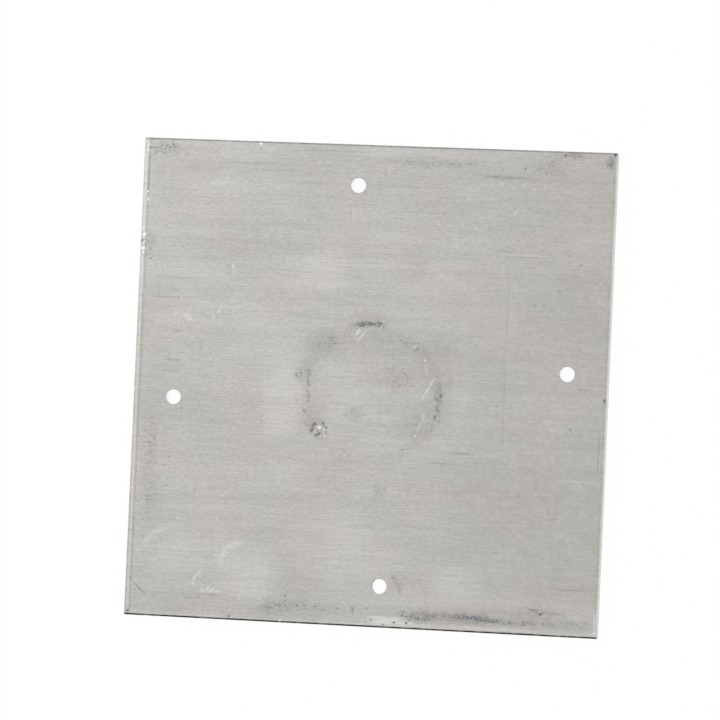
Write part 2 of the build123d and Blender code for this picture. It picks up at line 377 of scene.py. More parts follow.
print("arcs", {kind: len(found) for kind, found in arcs.items()})

# %% [markdown]
# ## Scratches and pits at a point
# These functions say how strong a mark is at any point, so the same lists serve the relief and the
# vertex attributes. A stroke is strongest on its centre line and fades to its sides and ends.
# Where strokes cross, the stronger one shows.

# %% Strength of strokes and spots
# depths as shares of a mark's width; a stroke tapers to 0.3 of itself over its outer quarters
scratch_depth, pit_depth, tip_strength = 0.1, 0.12, 0.3


def soft_step(value):
    """0 below 0, 1 above 1 and smooth between."""
    value = np.clip(value, 0, 1)
    return value * value * (3 - 2 * value)


def stroke_profiles(points):
    """Yields how fully each stroke covers each point, with the stroke."""
    for stroke in strokes:
        start, end, width = np.array(stroke[:2]), np.array(stroke[2:4]), stroke[4]
        run = end - start
        share = np.clip((points - start) @ run / (run @ run), 0, 1)
        side = np.linalg.norm(points - start - share[:, None] * run, axis=1)
        taper = tip_strength + (1 - tip_strength) * soft_step(4 * np.minimum(share, 1 - share))
        yield np.clip(1 - side / width, 0, 1) * taper, stroke


def spot_profiles(points):
    """Yields how fully each spot covers each point, with the spot."""
    for spot in spots:
        across = (points - np.array(spot[:2])) / np.array(spot[2:4]) * 2
        yield soft_step(1.5 - np.linalg.norm(across, axis=1)), spot


def mark_tone(points):
    """Tone of the scratches and spots at points, from -1 for black dirt to 1 for bright metal with
    a painted glint.
    """
    tone = np.zeros(len(points))
    for profiles in (stroke_profiles(points), spot_profiles(points)):
        for cover, mark in profiles:
            this = cover * mark[-1]
            tone = np.where(np.abs(this) > np.abs(tone), this, tone)
    return tone


def mark_depth(points):
    """How deep the scratches and pits are at points, in mm."""
    depth = np.zeros(len(points))
    for cover, stroke in stroke_profiles(points):
        depth = np.maximum(depth, cover * stroke[4] * scratch_depth)
    for cover, spot in spot_profiles(points):
        depth = np.maximum(depth, cover * min(spot[2:4]) * pit_depth)
    return depth


first_pit = np.array([spots[0][:2]])
print("the first pit is", round(float(mark_depth(first_pit)[0]), 3), "mm deep")

# %% [markdown]
# ## Clouds at a point
# A cloud fades outwards from its middle, and an arc from its line and its ends. To add overlapping
# clouds without going past 1, the clear shares are multiplied, as with sheets of tinted glass.

# %% Strength of clouds and arcs
# a cloud starts to fade at 0.35 of its spread and is gone at 1.35 of it; an arc is 0.4 mm softer
# on each side than its width, and fades in over the first and last fifth of its length
cloud_reach, arc_softness = 1.35, 0.4


def arc_strength(points, centre, radius, first, last, width, strength):
    """Strength of one arc, strongest on its line and faded at its sides and ends."""
    out = points - np.array(centre)
    angle = np.degrees(np.arctan2(out[:, 1], out[:, 0]))
    along = (angle - first) % 360 / (last - first)
    ends = soft_step(5 * along) * soft_step(5 * (1 - along))
    side = np.abs(np.linalg.norm(out, axis=1) - radius) / (width / 2 + arc_softness)
    return strength * soft_step(cloud_reach - side) * np.where(along < 1, ends, 0)


def cloud_strength(points, kind):
    """Strength of one kind of cloud at points, from 0 to 1."""
    clear = np.ones(len(points))
    for x, y, spread_x, spread_y, strength in clouds[kind]:
        out = np.hypot((points[:, 0] - x) / spread_x, (points[:, 1] - y) / spread_y)
        clear *= 1 - strength * soft_step(cloud_reach - out)
    for arc in arcs[kind]:
        clear *= 1 - arc_strength(points, *arc)
    return 1 - clear


ring_top = np.array([[0.0, 19.6]])
print("grime at the top of the ring", round(float(cloud_strength(ring_top, "grime")[0]), 2))

# %% [markdown]
# ## Points of the top face
# The top could be a fine grid, but a grid fine enough for a 0.4 mm scratch would need over a
# hundred thousand points. Points are placed only where the shape needs them instead: rows along
# the rolls, rings round the holes, rows beside each mark, and a loose net between. Lines that must
# stay as mesh edges are kept as pairs of points.

# %% A set of points and the outline
corner_points = 4


class PointSet:
    """Points in mm and the lines between them that the mesh has to keep."""

    def __init__(self):
        self.points, self.lines = [], []

    def add(self, new_points, joined=False, closed=False):
        first = sum(len(p) for p in self.points)
        new_points = np.atleast_2d(np.asarray(new_points, float))
        self.points.append(new_points)
        count = len(new_points)
        if joined:
            self.lines += [(first + i, first + i + 1) for i in range(count - 1)]
        if closed:
            self.lines.append((first + count - 1, first))


def rounded_outline(spacing):
    """Points round the plate, anticlockwise from the front left, with dulled corners."""
    straight = half_side - corner_radius
    steps = round(2 * straight / spacing)
    run = np.linspace(-straight, straight, steps, endpoint=False)
    bend = np.linspace(0, math.pi / 2, corner_points, endpoint=False)
    bend_x = straight + corner_radius * np.sin(bend)
    bend_y = -straight - corner_radius * np.cos(bend)
    front = np.vstack([
        np.column_stack([run, np.full(steps, -half_side)]), np.column_stack([bend_x, bend_y])
    ])
    quarter_turns = [(1, 0), (0, 1), (-1, 0), (0, -1)]
    return np.vstack([front @ np.array([[c, s], [-s, c]]) for c, s in quarter_turns])


def drawn_in(outline, share):
    """The outline moved in by a share of each edge's roll width."""
    inner = outline.copy()
    for axis, (low, high) in enumerate([("left", "right"), ("front", "back")]):
        width = np.where(outline[:, axis] < 0, edges[low].roll_width, edges[high].roll_width)
        inner[:, axis] *= 1 - share * width / half_side
    return inner


outline = rounded_outline(spacing=0.5)
print("outline has", len(outline), "points")

# %% [markdown]
# ## Rows along the rolls and rings round the holes
# Rows drawn in from the outline follow each roll, close together where it curves most. A few more
# lie past it, because the dirt that gathers there has a sharp inner side. Each hole has a ring at
# its wall, one where its burr cut ends and a loose one outside.

# %% Outline, rolls and rims
# each row's place as a share of the roll's width
roll_end = 1.0
roll_rows = (0.08, 0.24, 0.5, 0.76, roll_end, 1.2, 1.5, 2.2)
circle_points, loose_ring = 48, 0.7
circle = np.linspace(0, math.tau, circle_points, endpoint=False)
unit_circle = np.column_stack([np.cos(circle), np.sin(circle)])
top = PointSet()
top.add(outline, joined=True, closed=True)
for share in roll_rows:
    top.add(drawn_in(outline, share), joined=share == roll_end, closed=share == roll_end)
for centre in hole_centres:
    for radius in (hole_radius, hole_radius + rim_break):
        top.add(centre + radius * unit_circle, joined=True, closed=True)
    top.add(centre + (hole_radius + loose_ring) * unit_circle[::2])
print("so far", sum(len(p) for p in top.points), "points")

# %% [markdown]
# ## A net of points between
# The loose net is a jittered grid: each square gets one point a little off its middle, so that the
# triangles have no rows that light could pick out. It is closer together in the ring and along the
# edges, where the clouds change fast. The seed is fixed, so every run draws the same net.

# %% Fill in the net and the marks
random = np.random.default_rng(6)
# how far points stay from the hole rims and edges, and how far apart they are along a scratch
rim_gap, net_gap, mark_gap, scratch_step = 0.9, 0.6, 0.05, 0.9


def net(x_low, x_high, y_low, y_high, pitch):
    """A grid with each point moved a little, in mm."""
    xs, ys = np.arange(x_low, x_high, pitch), np.arange(y_low, y_high, pitch)
    grid = np.stack(np.meshgrid(xs, ys), axis=-1).reshape(-1, 2)
    return grid + random.uniform(-0.3, 0.3, grid.shape) * pitch


def keep_inside(points, edge_gap):
    """The points that are on the sheet, clear of its edges and of the holes."""
    inside = np.all([distance_in(points, n) > edge_gap for n in edges], axis=0)
    for centre in hole_centres:
        inside &= np.linalg.norm(points - centre, axis=1) > hole_radius + rim_gap
    return points[inside]


# lowest and highest X, lowest and highest Y, then pitch, all in mm
net_areas = [
    (-74, 75, -64, 65, 1.5), (-74, 75, -75.2, -64, 0.7), (-74, 75, 65, 75.4, 0.9),
    (-28, 28, -28, 22, 0.75), (-74, -58, -64, 65, 1.1),
]
for area in net_areas:
    top.add(keep_inside(net(*area), net_gap))
for x1, y1, x2, y2, width, _ in strokes:
    start, run = np.array([x1, y1]), np.array([x2 - x1, y2 - y1])
    steps = max(2, round(float(np.linalg.norm(run)) / scratch_step))
    middle = start + np.linspace(0, 1, steps + 1)[:, None] * run
    side = np.array([-run[1], run[0]]) / np.linalg.norm(run) * width
    top.add(middle, joined=True)
    for way in (-1, -0.5, 0.5, 1):
        top.add(keep_inside(middle + way * side, mark_gap))
for x, y, length, height, _ in spots:
    top.add([x, y])
    for grow in (0.3, 0.55, 0.8):
        spot_ring = np.array([x, y]) + unit_circle[::6] * [length * grow, height * grow]
        top.add(keep_inside(spot_ring, mark_gap))
print("top face has", sum(len(p) for p in top.points), "points")

# %% [markdown]
# ## Triangles between the points
# Blender has a Delaunay triangulation that respects given lines. It fills the plan of the plate
# with well-shaped triangles and splits lines where scratches cross. Heights are asked for after
# that, so a new crossing point gets its right height too.

# %% Triangulate a face of the plate
# fill_all keeps every triangle; the others are limits in mm, and in mm2 for twice a triangle
fill_all, merge_distance, least_area = 0, 1e-5, 1e-7


def triangulate(point_set):
    """Points and anticlockwise triangles that fill the plate's plan, less the screw holes."""
    plan = [Vector(p) for p in np.vstack(point_set.points)]
    found = delaunay_2d_cdt(plan, point_set.lines, [], fill_all, merge_distance, False)
    points = np.array([p[:] for p in found[0]])
    faces = np.array([f for f in found[2] if len(f) == 3])
    a, b, c = (points[faces[:, i]] for i in range(3))
    turn = (b[:, 0] - a[:, 0]) * (c[:, 1] - a[:, 1]) - (b[:, 1] - a[:, 1]) * (c[:, 0] - a[:, 0])
    faces[turn < 0] = faces[turn < 0][:, ::-1]
    middle = (a + b + c) / 3
    solid = np.abs(turn) > least_area
    inner_radius = hole_radius * math.cos(math.pi / circle_points)
    for centre in hole_centres:
        solid &= np.linalg.norm(middle - centre, axis=1) > inner_radius
    return points, faces[solid]


top_points, top_faces = triangulate(top)
print("top face has", len(top_faces), "triangles")

# %% [markdown]
# ## The face and the walls
# The shell is put together from parts, each with a number for its finish. The face gets its
# heights here, and its scratches and pits are sunk into it. The walls are a strip: each point of
# the outline drops in rows down the land and the broken zone, closer together near the top, where
# the knocks cut in.

# %% Build the face and the walls
all_points, all_faces, all_finishes = [], [], []
FACE, CUT, BORE = 0, 1, 2


def add_part(points, faces, finish):
    """Adds one part of the shell, in mm, with a number for its finish."""
    first = sum(len(p) for p in all_points)
    all_points.append(np.asarray(points, float))
    all_faces.extend((np.asarray(faces) + first).tolist())
    all_finishes.extend([finish] * len(faces))


def add_strip(rows, finish, flipped=False):
    """Adds the quads between closed rows of points, from the top row down."""
    count, quads = len(rows[0]), []
    for row in range(len(rows) - 1):
        for i in range(count):
            j = (i + 1) % count
            quad = [row * count + i, (row + 1) * count + i, (row + 1) * count + j, row * count + j]
            quads.append(quad[::-1] if flipped else quad)
    add_part(np.vstack(rows), quads, finish)


from_edges = [distance_in(top_points, name) for name in edges]
from_rims = [np.linalg.norm(top_points - c, axis=1) - hole_radius for c in hole_centres]
# marks fade out near edges and rims, so that the face still meets the walls and bores
mark_fade = 0.3
fade = soft_step(np.min(from_edges + from_rims, axis=0) / mark_fade)
engraved = top_height(top_points) - mark_depth(top_points) * fade
add_part(np.column_stack([top_points, engraved]), top_faces, FACE)

# heights of the rows above the underside, in mm
land_levels = [2.62, 2.48, 2.3, land_bottom]
broken_levels = [1.86, 1.65, 1.35, 1.05, 0.75, 0.45, 0.2, 0.0]
outline_top = top_height(outline)
wall_rows = [np.column_stack([outline, outline_top])]
for level in land_levels + broken_levels:
    lean = break_lean * np.clip(1 - level / land_bottom, 0, 1)
    row = outline * (1 - lean / half_side)
    wall_rows.append(np.column_stack([row, np.full(len(row), level)]))
add_strip(wall_rows, CUT)
print("lowest top of a wall", round(float(outline_top.min()), 3), "mm")

# %% [markdown]
# ## The underside and the bores
# The underside needs few points, because nothing has marked it. The bores are strips of their own,
# turned so that their faces look into the hole.

# %% Build the underside and the bores
# all in mm; inner_row is a row of points this far in from the underside's outline
inner_ring, bottom_pitch, bottom_gap, inner_row = 1.2, 4.0, 1.6, 1.0
bottom = PointSet()
bottom.add(outline * (1 - break_lean / half_side), joined=True, closed=True)
for centre in hole_centres:
    for radius in (hole_radius, hole_radius + rim_break):
        bottom.add(centre + radius * unit_circle, joined=True, closed=True)
    bottom.add(centre + (hole_radius + inner_ring) * unit_circle[::2])
bottom.add(keep_inside(net(-74, 74, -74, 74, bottom_pitch), bottom_gap))
bottom.add(rounded_outline(spacing=2.0) * (1 - inner_row / half_side))
under_points, under_faces = triangulate(bottom)
near_rim = np.min([np.linalg.norm(under_points - c, axis=1) for c in hole_centres], axis=0)
under_height = np.clip(hole_radius + rim_break - near_rim, 0, rim_break)
add_part(np.column_stack([under_points, under_height]), under_faces[:, ::-1], FACE)

bore_rows_each = 8
bore_levels = np.linspace(thickness - rim_break, rim_break, bore_rows_each)
for centre in hole_centres:
    rim = centre + hole_radius * unit_circle
    bore_rows = [np.column_stack([rim, np.full(circle_points, level)]) for level in bore_levels]
    add_strip(bore_rows, BORE, flipped=True)
print("shell has", sum(len(p) for p in all_points), "points before welding")

# %% [markdown]
# ## One closed shell
# The parts only touch so far. Merging the points that lie within a thousandth of a millimetre of
# each other welds them into one shell, and counting the edges that don't have two faces shows
# whether it is closed: the count has to be 0. Normals are turned outwards after the weld, because
# only then is there an outside.

# %% Make the mesh and weld it
plate_mesh = bpy.data.meshes.new("cover_plate_dressed")
plate_mesh.from_pydata((np.vstack(all_points) * MM).tolist(), [], all_faces)
finish_number = plate_mesh.attributes.new("finish", "INT", "FACE")
finish_number.data.foreach_set("value", all_finishes)
weld_distance = 0.001 * MM
work = bmesh.new()
work.from_mesh(plate_mesh)
bmesh.ops.remove_doubles(work, verts=work.verts, dist=weld_distance)
open_edges = sum(1 for e in work.edges if len(e.link_faces) != 2)
bmesh.ops.recalc_face_normals(work, faces=work.faces)
work.to_mesh(plate_mesh)
work.free()
plate_mesh.update()
print("welded to", len(plate_mesh.vertices), "points with", open_edges, "open edges")

# %% [markdown]
# ## Painted shade and painted highlights along the edges
# Shade is painted along the edges as dark lines: the front roll is nearly black with it, the back
# roll has a thin line, the right one a faint one, and the left roll two, in its outer part and
# past its inner end. Highlights are painted on the rims between them. The front hole has painted
# shade in its bore, on its left near the top. All of it follows a distance, so it is worked out
# and not listed.

# %% Painted shade and painted highlights by distance from an edge
# dark lines of painted shade along the rolls
# edge, how strong the line is, how far in from the edge it lies and how wide it fades, in mm
edge_shade_lines = [
    ("back", 0.72, 0.33, 0.24), ("right", 0.12, 0.55, 0.3), ("left", 0.24, 1.8, 0.4),
    ("left", 0.34, 0.4, 0.35),
]
# painted highlights on the rims, with the same columns
rim_highlight_lines = [("left", 0.4, 1, 0.4), ("right", 1, 0.15, 0.35), ("front", 0.4, 0.8, 0.3)]


def strongest_line(points, lines):
    """The strongest of some lines along the edges at each point, from 0 to 1."""
    found = [
        strength * np.clip(1 - np.abs(distance_in(points, name) - place) / width, 0, 1)
        for name, strength, place, width in lines
    ]
    return np.max(found, axis=0)


here = np.empty(len(plate_mesh.vertices) * 3)
plate_mesh.vertices.foreach_get("co", here)
here = here.reshape(-1, 3) / MM
plan, height = here[:, :2], here[:, 2]

# the front roll is painted nearly black with shade, and the other edges get the lines of painted
# shade
front_end, front_softness, front_strength = 0.54, 0.08, 1.2
front_roll_shade = soft_step((front_end - distance_in(plan, "front")) / front_softness)
painted_edge_shade = np.maximum(front_strength * front_roll_shade, strongest_line(plan, edge_shade_lines))
# painted highlights on the rims
painted_rim_highlights = strongest_line(plan, rim_highlight_lines)
front_hole = hole_centres[3]
in_front_bore = np.linalg.norm(plan - front_hole, axis=1) < hole_radius + 0.05
on_its_left = soft_step((front_hole[0] - 0.6 - plan[:, 0]) / 1.2)
near_its_top = soft_step((height - 0.62 * thickness) / 0.6)
# painted shade in the front bore, strongest on the wall at the bore's left, in its upper third
bore_shade = 0.75 * in_front_bore * on_its_left * near_its_top
print("dirt on", int((painted_edge_shade > 0).sum()), "points along the edges")

# %% [markdown]
# ## Attributes that carry the marks
# Each vertex now gets the tone of its scratch and the strength of each cloud, and the material
# reads them by name. They could be a painted image, but numbers on the vertices need no unwrapping
# and go with the mesh. The marks fade out between 0.4 and 0.6 mm below the top, so that they stay
# off the walls.

# %% Paint the attributes
fade_start, fade_end, zone_blend = 0.4, 0.6, 0.2
up_top = soft_step((height - thickness + fade_end) / (fade_end - fade_start))
painted = {
    "mark_tone": mark_tone(plan) * up_top,
    "grime": cloud_strength(plan, "grime") * up_top,
    "tarnish_and_shade": cloud_strength(plan, "tarnish_and_shade") * up_top,
    # rubbed wear, together with the painted highlights on the rims
    "rubbing": np.maximum(cloud_strength(plan, "rubbing"), painted_rim_highlights) * up_top,
    # painted shade along the edge rolls and in the front bore
    "painted_edge_shade": painted_edge_shade * up_top + bore_shade,
    "broken_zone": soft_step((land_bottom + zone_blend / 2 - height) / zone_blend),
}
for name, values in painted.items():
    attribute = plate_mesh.attributes.new(name, "FLOAT", "POINT")
    attribute.data.foreach_set("value", values.astype(np.float32))
    print(name, "from", round(float(values.min()), 2), "to", round(float(values.max()), 2))

# %% [markdown]
# ## The way into each wall
# The walls will get relief of their own, and it has to go inwards, so that the plate keeps its
# size. A vector on each wall point says which way that is. It shrinks to nothing near the face and
# the underside, because a moved point there would bend them.

# %% Paint the way in
wall_fade, wall_margin = 0.3, 0.02
on_wall = np.max(np.abs(plan), axis=1) > half_side - break_lean - wall_margin
sideways = np.abs(plan[:, 0]) > np.abs(plan[:, 1])
inward = np.zeros((len(here), 3))
inward[:, 0] = np.where(on_wall & sideways, -np.sign(plan[:, 0]), 0)
inward[:, 1] = np.where(on_wall & ~sideways, -np.sign(plan[:, 1]), 0)
above_underside = soft_step(height / wall_fade)
below_face = soft_step((thickness - fade_start - height) / wall_fade)
inward *= (above_underside * below_face)[:, None]
wall_inward = plate_mesh.attributes.new("wall_inward", "FLOAT_VECTOR", "POINT")
wall_inward.data.foreach_set("vector", inward.ravel().astype(np.float32))
print(int(on_wall.sum()), "points on the walls")

# %% [markdown]
# ## Colours and nodes
# Colours are written as sRGB hex, as a designer would quote them, and one function turns them into
# the linear values that shaders use. One more function adds a node with its settings and links,
# which keeps each material short enough to read.

# %% Helpers for materials
def colour(hex_code):
    """Linear RGBA of an sRGB hex colour."""
    parts = [int(hex_code[i:i + 2], 16) / 255 for i in (1, 3, 5)]
    return (*[p / 12.92 if p <= 0.04045 else ((p + 0.055) / 1.055) ** 2.4 for p in parts], 1.0)


def add_node(tree, kind, inputs=None, output=0, **settings):
    """Adds one node and returns one of its outputs. Settings are its properties, and inputs are
    values or other nodes' outputs, by the input's name or number."""
    new = tree.nodes.new(kind)
    for name, value in settings.items():
        setattr(new, name, value)
    for key, value in (inputs or {}).items():
        if isinstance(value, bpy.types.NodeSocket):
            tree.links.new(value, new.inputs[key])
        else:
            new.inputs[key].default_value = value
    return new.outputs[output] if new.outputs else None


def new_material(name):
    """An empty node material and its tree."""
    material = bpy.data.materials.new(name)
    material.use_nodes = True
    material.node_tree.nodes.clear()
    return material, material.node_tree


# MIX takes a factor as input 0 and its two colours as 6 and 7, and gives the colour as output 2.
# RANGE takes input 0 from the span between inputs 1 and 2 to the span between 3 and 4.
MIX, RANGE, MATHS = "ShaderNodeMix", "ShaderNodeMapRange", "ShaderNodeMath"
PLACE, MAPPING, NOISE = "ShaderNodeTexCoord", "ShaderNodeMapping", "ShaderNodeTexNoise"
METAL, BUMP = "ShaderNodeBsdfPrincipled", "ShaderNodeBump"
print("bare metal is", [round(c, 3) for c in colour("#D5D1CD")[:3]], "in linear light")

# %% [markdown]
# ## Mill-finish aluminium
# Sheet straight from the rolling mill is neither polished nor brushed. The rolls leave short, fine
# streaks along the sheet, in a soft grey with a broad, satin shine. It could be done with
# anisotropy, but what the eye sees is small changes of tone, so stretched noises vary the colour
# and the bump instead. Real streaks are about 0.1 mm apart, too fine to show, so they are drawn
# 0.34 mm apart. Slow noises add the warm and cool drift of old metal, and the finest ones break
# dirt into specks.

# %% Noises of the face material
face_metal, tree = new_material("mill_finish_aluminium")
marks = {
    name: add_node(tree, "ShaderNodeAttribute", output="Fac", attribute_name=name)
    for name in ("mark_tone", "grime", "tarnish_and_shade", "rubbing", "painted_edge_shade")
}
# each noise's feature size along X, Y and Z in mm, and its detail
noise_sizes = {
    "fine_streaks": ((1.5, 0.34, 1.5), 2), "long_streaks": ((9, 0.5, 9), 2),
    "passes": ((160, 5, 160), 1), "drift": ((38, 30, 38), 2), "tint": ((26, 20, 26), 1),
    "specks": ((0.6, 0.45, 0.6), 2), "smear": ((2.6, 0.9, 2.6), 4), "blotch": ((2.2, 1.7, 2.2), 4),
}
place = add_node(tree, PLACE, output="Object")
noises = {}
for name, (sizes, detail) in noise_sizes.items():
    scale = [1 / (size * MM) for size in sizes]
    spread = add_node(tree, MAPPING, {"Vector": place, "Scale": scale})
    noises[name] = add_node(tree, NOISE, {"Vector": spread, "Scale": 1.0, "Detail": detail}, "Fac")
print(face_metal.name, "has", len(noises), "noises")

# %% [markdown]
# ## Bare metal
# The colour is built as a painter would: bare metal first, darkened a little by each noise, and
# then one layer after another over it. A Map Range node stretches the middle of a noise, from 0.3
# to 0.7, over the whole way from dark to light. Multiplying by a grey near white keeps each change
# small.

# %% Bare metal and its streaks
tint = add_node(tree, RANGE, {0: noises["tint"], 1: 0.35, 2: 0.65})
metal = add_node(
    tree, MIX, {0: tint, 6: colour("#D5D1CD"), 7: colour("#D3D2CE")}, 2, data_type="RGBA"
)
streak_darks = {
    "drift": "#F4F4F4", "passes": "#F7F7F7", "long_streaks": "#F3F3F3", "fine_streaks": "#E6E6E6",
}
for name, dark in streak_darks.items():
    light = add_node(tree, RANGE, {0: noises[name], 1: 0.3, 2: 0.7})
    shade = add_node(
        tree, MIX, {0: light, 6: colour(dark), 7: colour("#FFFFFF")}, 2, data_type="RGBA"
    )
    metal = add_node(
        tree, MIX, {0: 1.0, 6: metal, 7: shade}, 2, data_type="RGBA", blend_type="MULTIPLY"
    )
print("bare metal is darkened by", len(streak_darks), "noises")

# %% [markdown]
# ## What lies over the metal
# Dirt never has a clean outline, so each attribute is broken up by noise before it is laid on, the
# painted shade and highlights along the edges too. Grime is a thin even haze and, where it is
# thick,
# specks: fine noise, smear noise and the grime's own strength are added, and only what comes over
# a threshold shows. Scratches come last, dark ones and then bright ones with their painted glint,
# because they cut through the rest.

# %% Layers over the metal
# each mark's noise, the range of it that is stretched, and the mark's weakest and strongest share
patches = {
    "rubbing": ("long_streaks", 0.3, 0.6, 0.5, 1.0),
    "tarnish_and_shade": ("blotch", 0.3, 0.7, 0.3, 1.2),
    "painted_edge_shade": ("blotch", 0.25, 0.65, 0.5, 1.1),
}
masks = {}
for name, (noise, low, high, weakest, strongest) in patches.items():
    patch = add_node(tree, RANGE, {0: noises[noise], 1: low, 2: high, 3: weakest, 4: strongest})
    masks[name] = add_node(tree, MATHS, {0: marks[name], 1: patch}, operation="MULTIPLY")
speck_share, speck_threshold, speck_full, haze_share = 1.7, 1.66, 2.35, 0.22
grime_field = add_node(
    tree, MATHS, {0: noises["specks"], 1: speck_share, 2: marks["grime"]}, operation="MULTIPLY_ADD"
)
grime_field = add_node(tree, MATHS, {0: grime_field, 1: noises["smear"]}, operation="ADD")
grime = add_node(tree, RANGE, {0: grime_field, 1: speck_threshold, 2: speck_full})
haze = add_node(tree, MATHS, {0: marks["grime"], 1: haze_share}, operation="MULTIPLY")
dark_marks = add_node(tree, RANGE, {0: marks["mark_tone"], 1: 0.0, 2: -1.0})
# bright metal of the scratches and dents, with a painted glint
bright_metal_and_glints = add_node(tree, RANGE, {0: marks["mark_tone"], 1: 0.0, 2: 1.0})
# 2E2A26 is painted shade on the edge rolls
# ABA7A0 is tarnish, and painted shade on the right side
# E0DFDC lays on the rubbed wear and the painted rim highlights
# F4F2EF is bright metal with a painted glint
layers = [
    (masks["rubbing"], "#E0DFDC"), (masks["tarnish_and_shade"], "#ABA7A0"), (haze, "#85878A"),
    (grime, "#78797B"), (masks["painted_edge_shade"], "#2E2A26"), (dark_marks, "#4E4A45"),
    (bright_metal_and_glints, "#F4F2EF"),
]
for mask, hex_code in layers:
    metal = add_node(tree, MIX, {0: mask, 6: metal, 7: colour(hex_code)}, 2, data_type="RGBA")
print(len(layers), "layers over the bare metal")

# %% [markdown]
# ## Shine
# Mill finish has a roughness of about 0.4, which blurs what it reflects into one soft grey. The
# same streaks that vary the colour vary the roughness and the bump, because on the real sheet they
# are one thing. Grime dulls the metal a little more.

# %% Shine and fine relief of the face
satin = add_node(tree, RANGE, {0: noises["fine_streaks"], 1: 0.3, 2: 0.7, 3: 0.38, 4: 0.48})
dulled = add_node(tree, MATHS, {0: grime, 1: 0.2, 2: satin}, operation="MULTIPLY_ADD")
streak_height = add_node(
    tree, MATHS, {0: noises["fine_streaks"], 1: noises["long_streaks"]}, operation="ADD"
)
# the streaks are about 2 micrometres deep; drawn at 6 so that they still show at arm's length
streak_depth = 0.006 * MM
bump = add_node(tree, BUMP, {"Height": streak_height, "Strength": 0.5, "Distance": streak_depth})
shader = add_node(
    tree, METAL, {"Base Color": metal, "Metallic": 1.0, "Roughness": dulled, "Normal": bump}
)
add_node(tree, "ShaderNodeOutputMaterial", {"Surface": shader})
print(face_metal.name, "has", len(tree.nodes), "nodes")

# %% [markdown]
# ## Sheared edge
# The land is burnished by the blade and bright, with fine upright drag lines. The broken zone
# below is torn metal: greyer, matt and grainy. One material serves both, and an attribute says
# which zone a point is in. The drag lines are 0.35 mm apart and run down the wall, and the torn
# grain is 0.5 mm across. The coarser grain comes from real relief, which a later step adds.

# %% The cut edge material
tool_mark_depth = 0.02 * MM
cut_metal, tree = new_material("sheared_aluminium_edge")
broken = add_node(tree, "ShaderNodeAttribute", output="Fac", attribute_name="broken_zone")
painted_shade = add_node(tree, "ShaderNodeAttribute", output="Fac", attribute_name="painted_edge_shade")
place = add_node(tree, PLACE, output="Object")
cut_noises = {}
for name, sizes, detail in [("drag", (0.35, 0.35, 6), 2), ("grain", (0.5, 0.5, 0.35), 3)]:
    scale = [1 / (size * MM) for size in sizes]
    spread = add_node(tree, MAPPING, {"Vector": place, "Scale": scale})
    cut_noises[name] = add_node(
        tree, NOISE, {"Vector": spread, "Scale": 1.0, "Detail": detail}, "Fac"
    )
drag_light = add_node(tree, RANGE, {0: cut_noises["drag"], 1: 0.3, 2: 0.7})
grain_light = add_node(tree, RANGE, {0: cut_noises["grain"], 1: 0.35, 2: 0.65})
land = add_node(
    tree, MIX, {0: drag_light, 6: colour("#E6E5E2"), 7: colour("#F8F7F4")}, 2, data_type="RGBA"
)
torn = add_node(
    tree, MIX, {0: grain_light, 6: colour("#C6C5C2"), 7: colour("#DAD9D6")}, 2, data_type="RGBA"
)
metal = add_node(tree, MIX, {0: broken, 6: land, 7: torn}, 2, data_type="RGBA")
# 57514A is painted shade along the top of the walls
metal = add_node(tree, MIX, {0: painted_shade, 6: metal, 7: colour("#57514A")}, 2, data_type="RGBA")
matt = add_node(tree, RANGE, {0: broken, 3: 0.32, 4: 0.55})
bump = add_node(
    tree, BUMP, {"Height": cut_noises["drag"], "Strength": 0.4, "Distance": tool_mark_depth}
)
shader = add_node(
    tree, METAL, {"Base Color": metal, "Metallic": 1.0, "Roughness": matt, "Normal": bump}
)
add_node(tree, "ShaderNodeOutputMaterial", {"Surface": shader})
print(cut_metal.name, "has", len(tree.nodes), "nodes")

# %% [markdown]
# ## Drilled bore
# A twist drill leaves the brightest metal on the plate, with fine rings round the bore, 0.3 mm
# apart, and shade is painted into one of the bores. The rings follow the drill's feed down Z, so
# the noise is long round the bore and short in Z.

# %% The bore material
bore_metal, tree = new_material("drilled_aluminium_bore")
painted_shade = add_node(tree, "ShaderNodeAttribute", output="Fac", attribute_name="painted_edge_shade")
place = add_node(tree, PLACE, output="Object")
ring_scale = [1 / (size * MM) for size in (9, 9, 0.3)]
spread = add_node(tree, MAPPING, {"Vector": place, "Scale": ring_scale})
rings = add_node(tree, NOISE, {"Vector": spread, "Scale": 1.0, "Detail": 2}, "Fac")
ring_light = add_node(tree, RANGE, {0: rings, 1: 0.3, 2: 0.7})
metal = add_node(
    tree, MIX, {0: ring_light, 6: colour("#F0F1F1"), 7: colour("#FBFBFB")}, 2, data_type="RGBA"
)
# 4A4540 is painted shade in the front bore
metal = add_node(tree, MIX, {0: painted_shade, 6: metal, 7: colour("#4A4540")}, 2, data_type="RGBA")
bump = add_node(tree, BUMP, {"Height": rings, "Strength": 0.4, "Distance": tool_mark_depth})
shader = add_node(
    tree, METAL, {"Base Color": metal, "Metallic": 1.0, "Roughness": 0.3, "Normal": bump}
)
add_node(tree, "ShaderNodeOutputMaterial", {"Surface": shader})
print(bore_metal.name, "has", len(tree.nodes), "nodes")

# %% [markdown]
# ## Relief by rule
# Three things on the plate follow a rule over its whole surface: the sheet is never quite flat,
# the land has upright drag lines, and the broken zone is grainy. Geometry Nodes suit that, because
# each is a noise along a direction that the mesh already carries as an attribute, and a size is
# then one named input that can be changed without touching the mesh code. A noise has no seed to
# fix: it is the same in every run.

